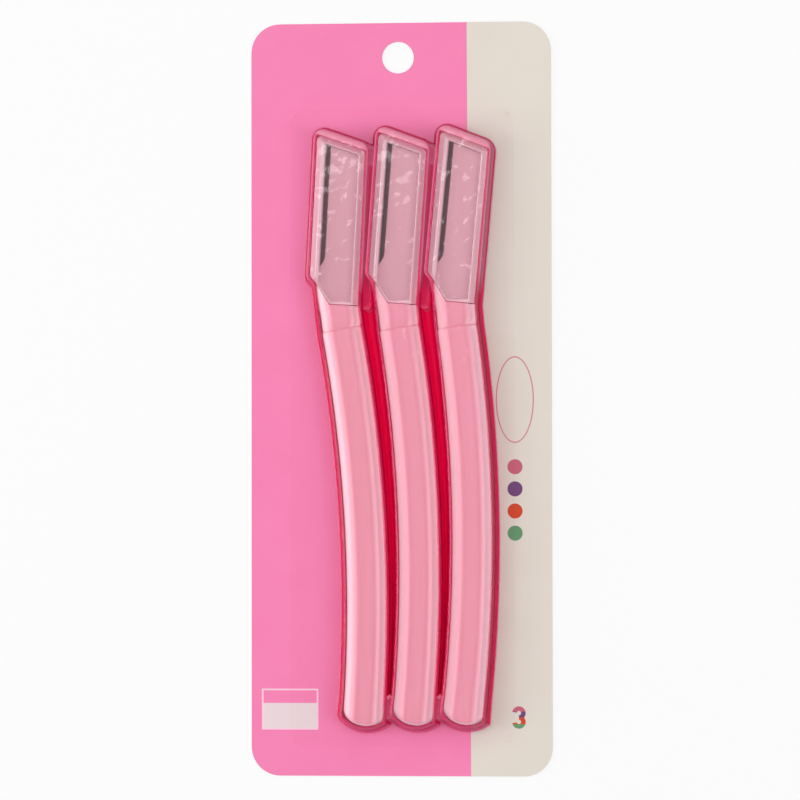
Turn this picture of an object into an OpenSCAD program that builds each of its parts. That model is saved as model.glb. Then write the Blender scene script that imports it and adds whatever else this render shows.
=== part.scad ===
// A carded set of three eyebrow razors. A printed card carries a clear formed blister, and
// three capped razors lie side by side in its troughs, fanned apart towards their heads.
// The card lies on its back on z = 0, centred on the origin, with its hang hole towards +Y.
// Each razor is drawn in a frame of its own, whose origin is the end of the handle's centre
// line, and is then laid in the row. A head has a second frame, with its origin at the joint
// line between handle and head, x across the head and y along it.

/* [Card] */
// Width of the card
card_w = 76; // [74:1:100]
// Thickness of the card
card_t = 0.5; // [0.3:0.1:1.2]
// Radius of the card's corners
card_corner_r = 7.3; // [3:0.1:12]
// Card left below the razors' handles
card_foot = 13; // [10:0.5:25]
// Card left above the razors' caps
card_head = 28; // [24:0.1:50]
// Diameter of the hang hole
hang_d = 8; // [5:0.5:10]
// From the card's top edge down to the hang hole's centre
hang_drop = 8.8; // [7:0.1:12]
// How far the hang hole's centre lies left of the card's middle
hang_left = 0.7; // [0:0.1:3]

/* [Row of razors] */
// How far the middle razor's end lies right of the card's middle
row_right = 2.9; // [0:0.1:4]
// How far each razor lies above its left neighbour
row_rise = 0.2; // [0:0.1:1]
// Gap between neighbouring handles at their ends
foot_gap = 2.4; // [2:0.1:5]
// Gap between neighbouring caps at their tips
head_gap = 3; // [2.8:0.1:5]

/* [Handle] */
// Length of the handle along its bend
handle_len = 99.9; // [80:0.5:120]
// Width of the handle
handle_w = 10.1; // [9:0.1:12]
// Thickness of the handle
handle_t = 5.5; // [5:0.1:7]
// Width of the flat along the middle of the handle's faces
handle_flat_w = 5.4; // [4:0.1:7]
// Height of the handle's upright side between its two bevels
handle_edge_t = 1.1; // [0.6:0.1:2]
// Radius of the bend, along the handle's centre line
handle_bend_r = 390; // [300:10:600]
// Angle at which the handle leans to the left where it meets the head
handle_lean = 9.1; // [7:0.1:11]

/* [Head] */
// Angle at which the head leans to the right
head_lean = 4.3; // [3:0.1:6]
// From the joint line up to the cap's mouth
neck_len = 6; // [5:0.1:10]
// How far the neck swings left by the cap's mouth
neck_shift = 1; // [0.5:0.1:1.5]
// How far the shoulder beside the mouth stands left of the neck
shoulder_reach = 0.9; // [0.5:0.1:1.5]
// How far the shoulder rises above the mouth
shoulder_rise = 5.1; // [4:0.1:6]
// From the cap's mouth to the tip of the head's plates
head_len = 40.1; // [34:0.1:46]
// Angle at which the head's top edge falls to the right
head_slant = 16; // [8:0.5:20]
// How far the plates reach right of the head's axis
plate_right = 2.1; // [1.5:0.1:2.8]
// Thickness of the plate under the blade
plate_t = 1.35; // [1:0.05:1.6]
// Thickness of the cover over the blade
cover_t = 1.35; // [1:0.05:1.6]
// Length of the tang that plugs into the handle
tang_len = 11; // [8:0.5:20]
// Width of the tang
tang_w = 5; // [4:0.1:6]
// Thickness of the tang
tang_t = 2.4; // [1.8:0.1:3]

/* [Blade] */
// Thickness of the steel strip
blade_t = 0.3; // [0.2:0.05:0.5]
// Width of the steel strip
blade_w = 4; // [3.6:0.1:4.8]
// Width of the strip that shows beside the cover
blade_show = 1.2; // [1:0.05:1.5]
// How far the cutting edge lies left of the head's axis
blade_reach = 6.35; // [6.2:0.05:7]
// Width of the ground bevel behind the cutting edge
grind_w = 0.9; // [0.5:0.1:1.1]
// Diameter of the pegs that hold the strip
peg_d = 1.2; // [0.8:0.1:1.5]

/* [Cap] */
// Wall of the cap
cap_wall = 0.8; // [0.6:0.05:1]
// Width of the bevel round the cap's faces
cap_bevel_w = 1.5; // [1:0.1:2]
// Height of the cap's upright side between its bevels
cap_edge_t = 1.7; // [1:0.1:2.2]
// Space inside the cap beside the cutting edge
blade_room = 1.6; // [1.2:0.05:2]
// Radius of the cap's right corner at its tip
cap_corner_r = 2.2; // [1.6:0.1:3]
// Radius of the cap's left corner at its tip
cap_tip_r = 1.1; // [0.8:0.1:1.6]
// How far left of the head's axis the square part of the mouth ends
mouth_left = 3.3; // [2.5:0.1:4.5]
// How far the mouth rises to the cap's left corner
mouth_rise = 7; // [6.5:0.1:8]

/* [Blister] */
// Thickness of the clear film
film_t = 0.4; // [0.3:0.05:0.6]
// Width of the flange round the troughs
flange_w = 3.8; // [3:0.1:5]
// Radius of the flange's corners
flange_corner_r = 4; // [2:0.5:8]
// Draft angle of the troughs' walls
draft = 6; // [5:0.5:9]
// Radius of the rounding along the troughs' upper edges
crown_r = 1.2; // [0.9:0.1:1.6]
// Radius where a trough narrows below the cap's left corner
neck_bend_r = 4; // [3:0.5:6]

/* [Clearances] */
// Gap between the film and what lies in it
film_clear = 0.4; // [0.35:0.05:0.8]
// Further room in the film beyond the caps' tips
tip_room = 0.9; // [0.5:0.05:1.2]
// Gap between the head and the inside of its cap
cap_clear = 0.35; // [0.3:0.05:0.5]
// Gap between the plates' faces and the inside of the cap
face_clear = 0.45; // [0.3:0.05:0.6]
// Gap between the cap's mouth and the neck's shoulder
mouth_gap = 0.2; // [0.1:0.05:0.5]
// Gap all round the tang in its socket
tang_fit = 0.1; // [0.05:0.05:0.2]
// Gap all round a peg, and behind and below the steel strip
peg_fit = 0.1; // [0.05:0.05:0.2]

/* [Hidden] */
COUNT = 3;
PIECES = ["handle", "blade_carrier", "blade", "blade_cover", "cap"];
function piece_name(k, piece) = str("razor_", k, "_", piece);
$fn = 64;
// Cuts run this far past what they cut
overrun = 2;
// Thickness of the slices that the neck is stretched between
slice_t = 0.02;
// Points on a rounded corner, on a long side of the handle and on its end
corner_steps = 4;
side_steps = 9;
end_steps = 5;

// Heights: razors and caps share one middle plane, and the thicker of them lies on the card
stack_t = plate_t + blade_t + cover_t;
cap_t = stack_t + 2 * (cap_wall + face_clear);
mid_z = card_t + max(handle_t, cap_t) / 2;
blade_z = mid_z - stack_t / 2 + plate_t;

// Handle: one arc, whose angles are counted from the centre of the bend
handle_arc = handle_len / handle_bend_r * 180 / PI;
foot_angle = handle_lean - handle_arc;
end_round_share = 1.465;
end_shift_share = 0.12;
end_r = handle_w / 2 * end_round_share;
end_shift = handle_w / 2 * end_shift_share;
end_angle = foot_angle + end_r / handle_bend_r * 180 / PI;

// Head: its frame starts at the joint line
plate_left = blade_reach - blade_show;
neck_left = handle_w / 2 + neck_shift;
shoulder = [-neck_left - shoulder_reach, neck_len + shoulder_rise];
head_tip = neck_len + head_len;
nose_low_share = 0.21;
nose_top_share = 0.285;
nose_low = neck_len + head_len * nose_low_share;
nose_top = neck_len + head_len * nose_top_share;
blade_low_share = 0.23;
blade_low = neck_len + head_len * blade_low_share;
edge_share = 0.1;
peg_shares = [0.1, 0.5, 0.9];
peg_x = -(plate_left + blade_reach - blade_w) / 2;

// Cap: it clears the plates on all sides, with its wall outside that
cap_bevel_h = (cap_t - cap_edge_t) / 2;
function cap_inset(h) = cap_wall + cap_bevel_w * max(0, h - cap_edge_t / 2) / cap_bevel_h;
cap_over = cap_clear + cap_inset(stack_t / 2);
cap_right = plate_right + cap_over;
cap_left = blade_reach + blade_room + cap_wall;
mouth_corner = [-cap_left, neck_len + mouth_rise];
// Guard nose below the blade, which keeps the same gap to the cap's left side
nose = [cap_over - cap_left, nose_low];

// Row: the razors' ends lie on one line, and each razor is turned about its own end
foot_pitch = handle_w + foot_gap;
head_pitch = cap_left + cap_right + head_gap;
fan = asin((head_pitch - foot_pitch) / (handle_len + neck_len + head_len));

// Turns a point about the origin
function turned(p, a) = [p.x * cos(a) - p.y * sin(a), p.x * sin(a) + p.y * cos(a)];
// A point at an angle along the handle's bend, and so far to the right of its centre line
function along(a, side) = turned([handle_bend_r + side, 0], a) - turned([handle_bend_r, 0], foot_angle);
// A point of the head's frame in the razor's frame
joint = along(handle_lean, 0);
function from_head(p) = joint + turned(p, -head_lean);
// Height of the plates' and the cap's slanted top edge at x
function plate_top(x) = head_tip - (x + plate_left) * tan(head_slant);
function cap_top(x) = plate_top(x) + cap_over / cos(head_slant);

// Rounded outlines: each corner is [point, radius], in anticlockwise order, with a negative
// radius where the outline turns inwards and zero where it only bends. Rings of one outline
// have as many points at any growth, so that they can be stacked into one solid.
function side_angle(p, q) = atan2(q.y - p.y, q.x - p.x) - 90;
function turn_between(a, b) = (b - a + 540) % 360 - 180;
least_r_share = 0.25;
function grown_r(r, grow) =
    r > 0 ? max(r + grow, r * least_r_share) : r < 0 ? min(r + grow, r * least_r_share) : 0;
function corner_ring(before, at, after, r, grow) =
    let (a = side_angle(before, at), t = turn_between(a, side_angle(at, after)),
         grown = grown_r(r, grow),
         centre = at + turned([(grow - grown) / cos(t / 2), 0], a + t / 2))
    r == 0 ? [centre] : [for (i = [0:corner_steps]) centre + turned([grown, 0], a + t * i / corner_steps)];
function ring(corners, grow) =
    let (n = len(corners))
    [for (i = [0:n - 1])
        each corner_ring(corners[(i + n - 1) % n][0], corners[i][0], corners[(i + 1) % n][0],
                         corners[i][1], grow)];

// Stacks rings of one outline, each [height, growth], into a closed solid
module stacked(corners, levels) {
    n = len(ring(corners, 0));
    last = len(levels) - 1;
    points = [for (level = levels) each [for (p = ring(corners, level[1])) [p.x, p.y, level[0]]]];
    sides = [for (j = [0:last - 1], i = [0:n - 1])
        [j * n + i, (j + 1) * n + i, (j + 1) * n + (i + 1) % n, j * n + (i + 1) % n]];
    floor_face = [for (i = [0:n - 1]) i];
    roof_face = [for (i = [n - 1:-1:0]) last * n + i];
    polyhedron(points, concat(sides, [floor_face, roof_face]));
}

// Outline that a trough follows: the cap's, then down the handle's left side, round its end
// and up its right side
end_left = handle_w / 2 + end_shift;
end_right = handle_w / 2 - end_shift;
end_from = -90 - asin(end_left / end_r);
end_to = -90 + asin(end_right / end_r);
function on_end(a) = along(end_angle, end_shift) + turned([end_r, 0], end_angle + a);
trough_corners = concat(
    [[from_head([cap_right, cap_top(cap_right) + tip_room]), cap_corner_r],
     [from_head([-cap_left, cap_top(-cap_left) + tip_room]), cap_tip_r],
     [from_head(mouth_corner), cap_tip_r],
     [from_head(shoulder), -neck_bend_r]],
    [for (i = [0:side_steps])
        [along(handle_lean + (end_angle - handle_lean) * i / side_steps, -handle_w / 2), 0]],
    [for (i = [0:end_steps]) [on_end(end_from + (end_to - end_from) * i / end_steps), 0]],
    [for (i = [side_steps:-1:0])
        [along(handle_lean + (end_angle - handle_lean) * i / side_steps, handle_w / 2), 0]],
    [[from_head([max(cap_right, neck_left - 2 * neck_shift), neck_len]), 0]]
);

// Heights and growths of the troughs' rings, outside and inside
ceiling_z = card_t + max(handle_t, cap_t) + film_clear;
film_out = film_clear + film_t;
function draft_run(h) = h * tan(draft);
crown_break = 60;
function crown_levels(foot_z, top_z, grow, r) =
    [[foot_z, grow + draft_run(top_z - r - foot_z)], [top_z - r, grow],
     [top_z - r * (1 - sin(crown_break)), grow - r * (1 - cos(crown_break))], [top_z, grow - r]];
outer_levels = crown_levels(card_t - overrun, ceiling_z + film_t, film_out, crown_r);
inner_levels = crown_levels(card_t - overrun, ceiling_z, film_clear, crown_r - film_t);

// Where a razor's end lies in the row, with the razors numbered from the left
card_h = card_foot + card_head + from_head([-cap_left, cap_top(-cap_left)]).y;
function place(k) = k - (COUNT + 1) / 2;
function foot(k) = [row_right, card_foot - card_h / 2] + place(k) * [foot_pitch, row_rise];
function in_row(k, p) = foot(k) + turned(p, -place(k) * fan);
module lay(k) {
    translate(concat(foot(k), 0)) rotate(-place(k) * fan) children();
}

// Bounds of the flange
foot_grow = film_out + draft_run(ceiling_z + film_t - crown_r - card_t);
foot_rings = [for (k = [1:COUNT]) each [for (p = ring(trough_corners, foot_grow)) in_row(k, p)]];
flange_low = [min([for (p = foot_rings) p.x]), min([for (p = foot_rings) p.y])] - [flange_w, flange_w];
flange_high = [max([for (p = foot_rings) p.x]), max([for (p = foot_rings) p.y])] + [flange_w, flange_w];

// A rectangle between two corners, with true round corners
module rounded_box(low, high, r) {
    translate(low + [r, 0]) square(high - low - [2 * r, 0]);
    translate(low + [0, r]) square(high - low - [0, 2 * r]);
    for (x = [low.x + r, high.x - r], y = [low.y + r, high.y - r]) translate([x, y]) circle(r);
}

// The handle's section: two flats, four bevels and two narrow upright sides
function bar_section(w, t, flat_w, edge_t) =
    [[-w / 2, -edge_t / 2], [-flat_w / 2, -t / 2], [flat_w / 2, -t / 2], [w / 2, -edge_t / 2],
     [w / 2, edge_t / 2], [flat_w / 2, t / 2], [-flat_w / 2, t / 2], [-w / 2, edge_t / 2]];
module handle_section() polygon(bar_section(handle_w, handle_t, handle_flat_w, handle_edge_t));

module card() {
    color("hotpink")
    linear_extrude(card_t) difference() {
        rounded_box([-card_w / 2, -card_h / 2], [card_w / 2, card_h / 2], card_corner_r);
        translate([-hang_left, card_h / 2 - hang_drop]) circle(d = hang_d);
    }
}

module blister() {
    color("mistyrose", 0.4)
    difference() {
        union() {
            translate([0, 0, card_t]) linear_extrude(film_t)
                rounded_box(flange_low, flange_high, flange_corner_r);
            intersection() {
                for (k = [1:COUNT]) lay(k) stacked(trough_corners, outer_levels);
                translate([0, 0, card_t + film_t / 2]) linear_extrude(ceiling_z)
                    rounded_box(flange_low, flange_high, flange_corner_r);
            }
        }
        for (k = [1:COUNT]) lay(k) stacked(trough_corners, inner_levels);
    }
}

// Moves to the joint line, in line with the handle there
module at_joint() {
    translate([joint.x, joint.y, mid_z]) rotate(handle_lean) children();
}

// Moves to the head's frame
module at_head() {
    translate([joint.x, joint.y, 0]) rotate(-head_lean) children();
}

module tang(fit) {
    w = tang_w + 2 * fit;
    t = tang_t + 2 * fit;
    at_joint() translate([-w / 2, -tang_len - fit, -t / 2]) cube([w, tang_len + fit + overrun, t]);
}

module handle_end_cut() {
    foot = along(end_angle, end_shift);
    translate([foot.x, foot.y, card_t - overrun]) rotate(end_angle)
        linear_extrude(handle_t + 2 * overrun) difference() {
            translate([-handle_w, -2 * end_r]) square([2 * handle_w, 2 * end_r]);
            circle(end_r);
        }
}

module handle(k) {
    bend = turned([handle_bend_r, 0], foot_angle);
    color("pink")
    lay(k) difference() {
        translate([-bend.x, -bend.y, mid_z])
            rotate_extrude(angle = handle_arc, start = foot_angle, $fn = 720)
                translate([handle_bend_r, 0]) handle_section();
        tang(tang_fit);
        handle_end_cut();
    }
}

// A thin slice of the handle's section, across the head's frame
module neck_slice(x, y) {
    translate([x, y, mid_z]) rotate([90, 0, 0]) linear_extrude(slice_t) handle_section();
}

// Everything in the head's frame that lies below the mouth line, raised by a gap
module below_mouth(gap) {
    far = neck_left + cap_left;
    translate([0, gap, card_t - overrun]) linear_extrude(cap_t + 2 * overrun)
        polygon([mouth_corner - [far, 0], mouth_corner, shoulder, [-mouth_left, neck_len],
                 [far, neck_len], [far, -far], [-cap_left - far, -far]]);
}

// Outline of the plates that hold the blade, down to so far below the mouth
module plate_shape(depth) {
    polygon([[plate_right, neck_len - depth], [plate_right, plate_top(plate_right)],
             [-plate_left, head_tip], [-plate_left, nose_top], nose,
             shoulder, [-mouth_left, neck_len - depth]]);
}

module pegs(r, over) {
    span = plate_top(peg_x) - blade_low;
    for (share = peg_shares)
        translate([peg_x, blade_low + span * share, blade_z - plate_t / 2])
            cylinder(r = r, h = stack_t - plate_t / 2 + over);
}

module neck() {
    intersection() {
        hull() {
            at_joint() rotate([-90, 0, 0]) linear_extrude(slice_t) handle_section();
            at_head() neck_slice(-neck_shift, neck_len);
            at_head() neck_slice(shoulder.x + handle_w / 2, shoulder.y);
        }
        at_head() below_mouth(0);
    }
}

module blade_carrier(k) {
    color("lightpink")
    lay(k) {
        neck();
        tang(0);
        at_head() {
            translate([0, 0, blade_z - plate_t]) linear_extrude(plate_t) plate_shape(neck_len / 2);
            translate([0, 0, blade_z - plate_t]) linear_extrude(plate_t + blade_t) intersection() {
                plate_shape(neck_len / 2);
                translate([peg_fit - blade_reach + blade_w, 0]) square([blade_w + plate_right, head_tip]);
            }
            pegs(peg_d / 2, 0);
        }
    }
}

// The strip's section across the head, with the ground bevel on its left
module blade_section() {
    edge_t = blade_t * edge_share;
    polygon([[-blade_reach, (blade_t - edge_t) / 2], [grind_w - blade_reach, 0],
             [blade_w - blade_reach, 0], [blade_w - blade_reach, blade_t],
             [grind_w - blade_reach, blade_t], [-blade_reach, (blade_t + edge_t) / 2]]);
}

module blade(k) {
    right = blade_w - blade_reach;
    color("dimgray")
    lay(k) at_head() difference() {
        intersection() {
            translate([0, head_tip + overrun, blade_z]) rotate([90, 0, 0])
                linear_extrude(head_len + overrun) blade_section();
            translate([0, 0, blade_z - overrun]) linear_extrude(2 * overrun)
                polygon([[-blade_reach, blade_low], [right, blade_low], [right, plate_top(right)],
                         [-blade_reach, plate_top(-blade_reach)]]);
        }
        pegs(peg_d / 2 + peg_fit, 0);
    }
}

module blade_cover(k) {
    color("pink")
    lay(k) at_head() difference() {
        translate([0, 0, blade_z + blade_t]) linear_extrude(cover_t) plate_shape(0);
        below_mouth(mouth_gap / 2);
        pegs(peg_d / 2 + peg_fit, overrun);
    }
}

module cap(k) {
    low = -cap_left - cap_bevel_w;
    sheath = [[[cap_right, low], 0], [[cap_right, cap_top(cap_right)], cap_corner_r],
              [[-cap_left, cap_top(-cap_left)], cap_tip_r], [[-cap_left, low], 0]];
    half = cap_t / 2;
    hollow = half - cap_wall;
    color("lavenderblush", 0.5)
    lay(k) at_head() difference() {
        translate([0, 0, mid_z]) stacked(sheath,
            [[-half, -cap_bevel_w], [-cap_edge_t / 2, 0], [cap_edge_t / 2, 0], [half, -cap_bevel_w]]);
        translate([0, 0, mid_z]) stacked(sheath,
            [[-hollow, -cap_inset(hollow)], [-cap_edge_t / 2, -cap_wall],
             [cap_edge_t / 2, -cap_wall], [hollow, -cap_inset(hollow)]]);
        below_mouth(mouth_gap);
    }
}

card();
blister();
for (k = [1:COUNT]) {
    handle(k);
    blade_carrier(k);
    blade(k);
    blade_cover(k);
    cap(k);
}
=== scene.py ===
"""A carded set of three eyebrow razors: looks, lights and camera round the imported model.

Lengths are in millimetres up to the point where a mesh is made, and metres from there on.
Angles are in degrees. Each razor is drawn in a frame of its own, with its origin at the end of
the handle's centre line, and a head in a second frame, with its origin at the joint line between
handle and head. The middle razor's frame lies square on the card, and the others fan out from it.
"""

import math

import bmesh
import bpy
from mathutils import Matrix, Vector


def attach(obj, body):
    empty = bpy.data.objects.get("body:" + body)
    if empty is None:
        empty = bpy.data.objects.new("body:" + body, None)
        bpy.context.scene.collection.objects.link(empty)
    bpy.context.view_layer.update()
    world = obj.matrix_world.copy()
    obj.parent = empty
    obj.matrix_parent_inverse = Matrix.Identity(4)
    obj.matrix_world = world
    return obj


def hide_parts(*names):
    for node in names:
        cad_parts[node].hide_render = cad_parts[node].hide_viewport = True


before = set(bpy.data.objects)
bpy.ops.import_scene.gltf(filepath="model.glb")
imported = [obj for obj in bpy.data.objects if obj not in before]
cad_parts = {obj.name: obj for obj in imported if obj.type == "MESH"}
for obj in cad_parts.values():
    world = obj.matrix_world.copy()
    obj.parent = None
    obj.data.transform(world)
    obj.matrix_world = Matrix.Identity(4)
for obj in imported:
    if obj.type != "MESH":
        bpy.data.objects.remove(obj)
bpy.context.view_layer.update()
scene = bpy.context.scene
MM = 0.001
RAZORS = (1, 2, 3)
MIDDLE = 2

# Card, and the row of razors on it
CARD_T, CARD_H = 0.5, 189.961
ROW_RIGHT, ROW_RISE, CARD_FOOT = 2.9, 0.2, 13
FOOT_PITCH, FAN = 12.5, 1.18256

# Handle: its length along the bend, its section, and the circle that ends it
HANDLE_LEN, HANDLE_W, HANDLE_T, FLAT_W, EDGE_T = 99.9, 10.1, 5.5, 5.4, 1.1
BEND_R, HANDLE_LEAN, HEAD_LEAN = 390, 9.1, 4.3
END_R, END_SHIFT = 7.398, 0.606
MID_Z = 3.25
FOLD_R, RIM_R, SECTION_STEPS = 4.2, 0.5, 7
END_SOFT, JOINT_SOFT = 0.9, 0.3
END_TURNS, JOINT_TURNS, SWEEP_STEPS = (0, 18, 36, 54, 72, 90), (45, 90), 60
SEARCH_BACK, SEARCH_STEPS = 2, 30

# Blade carrier: neck, tang, and the plate under the blade with its guard nose
NECK_LEN, NECK_SHIFT, NECK_SWING, NECK_STEPS = 6, 1, 1.9, 10
HEAD_LEN, HEAD_SLANT = 40.1, 16
HEAD_TIP = NECK_LEN + HEAD_LEN
TANG_LEN, TANG_W, TANG_T, TANG_FIT, TANG_ROOT = 11, 5, 2.4, 0.1, 1
SHOULDER = (-6.95, 11.1)
PLATE_RIGHT, PLATE_LEFT, PLATE_T, PLATE_DEPTH, PLATE_SOFT = 2.1, 5.15, 1.35, 3.4, 0.15
PLATE_NOSE = [(-PLATE_LEFT, 17.43), (-5.8, 16.3), (-7.087, 14.421)]

# Blade, the pegs through it, the stop behind it and the cover over it
BLADE_Z, BLADE_T, BLADE_LOW, BLADE_BACK = 3.1, 0.3, 15.223, -2.35
BLADE_TOP = BLADE_Z + BLADE_T
PEG_R, PEG_X, PEG_FIT, PEG_ROOT, PEG_OVER = 0.6, -3.75, 0.1, 0.5, 0.7
PEG_SHARES = (0.1, 0.5, 0.9)
STOP_LOW, STOP_IN, STOP_SHORT, STOP_ROOT = 4, 0.02, 0.1, 0.3
COVER_T, COVER_LEFT, COVER_RISE, COVER_SOFT = 1.35, 3.35, 0.1, 0.3
COVER_NOSE = [(-PLATE_LEFT, 18.3), (-5.28, 17.5), (-5.7, 16.6), (-6.3, 15.7), (-6.9, 14.9),
              (-7.08, 14.4), (-7.05, 13.6), (-6.9, 11.3)]

# Cap, and the slope cut along its mouth
CAP_LEFT, CAP_RIGHT, CAP_OVER = 8.75, 3.76316, 1.66316
CAP_T, CAP_WALL, CAP_BEVEL, CAP_EDGE_T = 5.5, 0.8, 1.5, 1.7
CAP_CORNER_R, CAP_TIP_R = 2.2, 1.1
CAP_FOLD_R, HOLLOW_FOLD_R, EDGE_FOLD_SHARE, CAP_FOLD_STEPS, FOLD_LEAD = 0.7, 0.4, 0.6, 4, 2
MOUTH_CORNER, MOUTH_LEFT, MOUTH_GAP = (-CAP_LEFT, 13), 3.3, 0.2
MOUTH_DROP, MOUTH_RISE, MOUTH_BACK = 0.55, 0.3, 1.7

# Film: its troughs and flange, and the bridges between neighbouring troughs
FILM_T, FILM_CLEAR, TIP_ROOM, END_ROOM, CROWN_R, DRAFT = 0.4, 0.4, 0.9, 0.25, 1.2, 6
CEILING = CARD_T + CAP_T + FILM_CLEAR
MOUTH_R, SHOULDER_R, NECK_R = 1.6, -4, -12
SIDE_STEPS, END_STEPS = 26, 22
FILM_FOOT_R, FOOT_TURNS, FOOT_SKIM = 0.7, (8, 25, 45, 65), 0.005
WALL_SHARES, CROWN_TURNS = (0.35, 0.7), (0, 15, 30, 45, 60, 75, 90)
TROUGH_ROOT, HOLLOW_DEPTH = 0.15, 1
FLANGE_LOW, FLANGE_HIGH, FLANGE_R = (-27.8576, -87.3822), (28.2886, 72.8809), 4
FLANGE_SOFT, FLANGE_MID, FLANGE_STEPS, FLANGE_LIFT = 0.12, 0.035, 12, 0.02
WEB_TOP, VALLEY_TOP, WEB_REACH, WEB_LEN, WEB_R = 4.8, 3.9, 3.0, 3.2, 0.9
END_WEB_SHORT, END_WEB_SIDE, END_WEB_LEN = 1.9, 3.0, 5.0

# How far cutters run past what they cut, and how far out beside it
OVERRUN, FAR = 2, 16

# Print on the card: a beige strip, and marks in a thin film of ink
STRIP_X, STRIP_LEAN = 17.1, 0.004
INK_T = 0.01
DOT_R, DOT_X, DOT_HIGH, DOT_PITCH, DOT_STEPS = 1.9, 28.66, -17.3, 5.56, 48
OVAL, OVAL_W, OVAL_H, OVAL_LINE = (28.66, -0.4), 9.6, 21.8, 0.3
NUMBER_X, NUMBER_LOW, NUMBER_H, NUMBER_W, NUMBER_LINE = 29.5, -83, 5.6, 3.4, 1.15
BAND_SHARES, BOWL_TURNS, BOWL_STEPS = (0.76, 0.5, 0.2), ((-90, 170), (-170, 90)), 28
LABEL_LOW, LABEL_HIGH, LABEL_HEAD, LABEL_LINE = (-35.4, -83.4), (-21.1, -73.1), 3.6, 0.4

# Floor
FLOOR_HALF, FLOOR_Z = 900, -0.2


# Plane geometry
def cos(a):
    return math.cos(math.radians(a))


def sin(a):
    return math.sin(math.radians(a))


def tan(a):
    return math.tan(math.radians(a))


def turned(p, a):
    return (p[0] * cos(a) - p[1] * sin(a), p[0] * sin(a) + p[1] * cos(a))


def plus(p, q):
    return (p[0] + q[0], p[1] + q[1])


def rectangle(low, high):
    return [low, (high[0], low[1]), high, (low[0], high[1])]


def ellipse(centre, w, h, steps=96):
    angles = [360 * i / steps for i in range(steps)]
    return [plus(centre, (w / 2 * cos(a), h / 2 * sin(a))) for a in angles]


def disc(centre, r, steps=24):
    return ellipse(centre, 2 * r, 2 * r, steps)


FOOT_ANGLE = HANDLE_LEAN - math.degrees(HANDLE_LEN / BEND_R)
END_ANGLE = FOOT_ANGLE + math.degrees(END_R / BEND_R)


def along(a, side):
    """Point at an angle along the handle's bend, so far to the right of its centre line."""
    p, start = turned((BEND_R + side, 0), a), turned((BEND_R, 0), FOOT_ANGLE)
    return (p[0] - start[0], p[1] - start[1])


JOINT = along(HANDLE_LEAN, 0)
END_CENTRE = along(END_ANGLE, END_SHIFT)


def from_head(p):
    """Where a point of the head's frame lies in the razor's."""
    return plus(JOINT, turned(p, -HEAD_LEAN))


def in_row(k, p):
    """Where a point of razor k's frame lies on the card."""
    step = k - MIDDLE
    foot = (ROW_RIGHT + step * FOOT_PITCH, CARD_FOOT - CARD_H / 2 + step * ROW_RISE)
    return plus(foot, turned(p, -step * FAN))


def head_angle(k):
    """Angle at which razor k's head stands on the card."""
    return -HEAD_LEAN - (k - MIDDLE) * FAN


def card_frame(p):
    return p


def razor_frame(k):
    return lambda p: in_row(k, p)


def head_frame(k):
    return lambda p: in_row(k, from_head(p))


def joint_frame(k):
    """The frame of the handle's upper end, whose y runs out of it."""
    return lambda p: in_row(k, plus(JOINT, turned(p, HANDLE_LEAN)))


def plate_top(x):
    return HEAD_TIP - (x + PLATE_LEFT) * tan(HEAD_SLANT)


def cap_top(x):
    return plate_top(x) + CAP_OVER / cos(HEAD_SLANT)


# Rounded outlines: corners are (point, radius) in anticlockwise order, a radius below zero
# where the outline turns inwards
def side_angle(p, q):
    return math.degrees(math.atan2(q[1] - p[1], q[0] - p[0])) - 90


def corner_ring(before, at, after, r, grow, steps):
    """Points round one corner of an outline that has grown; at least a quarter of r is kept."""
    a = side_angle(before, at)
    t = (side_angle(at, after) - a + 540) % 360 - 180
    limit = max if r > 0 else min
    grown = limit(r + grow, r / 4) if r else 0
    centre = plus(at, turned(((grow - grown) / cos(t / 2), 0), a + t / 2))
    if r == 0:
        return [centre]
    return [plus(centre, turned((grown, 0), a + t * i / steps)) for i in range(steps + 1)]


def ring(corners, grow, steps):
    n = len(corners)
    made = []
    for i, (at, r) in enumerate(corners):
        made += corner_ring(corners[i - 1][0], at, corners[(i + 1) % n][0], r, grow, steps)
    return made


def fillets(path, radii, steps, closed=False):
    """Rounds the corners of a line of points by the radii given for them."""
    made = []
    n = len(path)
    for i, (p, r) in enumerate(zip(path, radii)):
        if r == 0 or (not closed and i in (0, n - 1)):
            made.append(p)
            continue
        at = Vector(p)
        sides = [(Vector(path[j % n]) - at).normalized() for j in (i - 1, i + 1)]
        half = sides[0].angle(sides[1]) / 2
        centre = at + (sides[0] + sides[1]).normalized() * (r / math.sin(half))
        start, end = [at + side * (r / math.tan(half)) - centre for side in sides]
        turn = math.degrees(math.atan2(start.x * end.y - start.y * end.x, start.dot(end)))
        made += [plus(centre, turned(start, turn * j / steps)) for j in range(steps + 1)]
    return made


# Mesh building: closer than this, in metres, vertices are welded and thin faces dissolved
WELD, SLIVER = 2e-6, 1e-6


def new_object(name, points, faces):
    mesh = bpy.data.meshes.new(name)
    mesh.from_pydata([(x * MM, y * MM, z * MM) for x, y, z in points], [], faces)
    mesh.update()
    obj = bpy.data.objects.new(name, mesh)
    scene.collection.objects.link(obj)
    return obj


def loft(name, rows):
    """A closed solid through rows of points, each row going anticlockwise as seen from its end."""
    n = len(rows[0])
    faces = [(j * n + i, j * n + (i + 1) % n, (j + 1) * n + (i + 1) % n, (j + 1) * n + i)
             for j in range(len(rows) - 1) for i in range(n)]
    faces += [tuple(range(n - 1, -1, -1)), tuple((len(rows) - 1) * n + i for i in range(n))]
    return new_object(name, [p for row in rows for p in row], faces)


def stacked(name, corners, levels, place, steps=8):
    """Rings of one outline, each (height, growth), stacked upwards into a closed solid."""
    rows = [[(*place(p), z) for p in ring(corners, grow, steps)] for z, grow in levels]
    return loft(name, rows)


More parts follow.
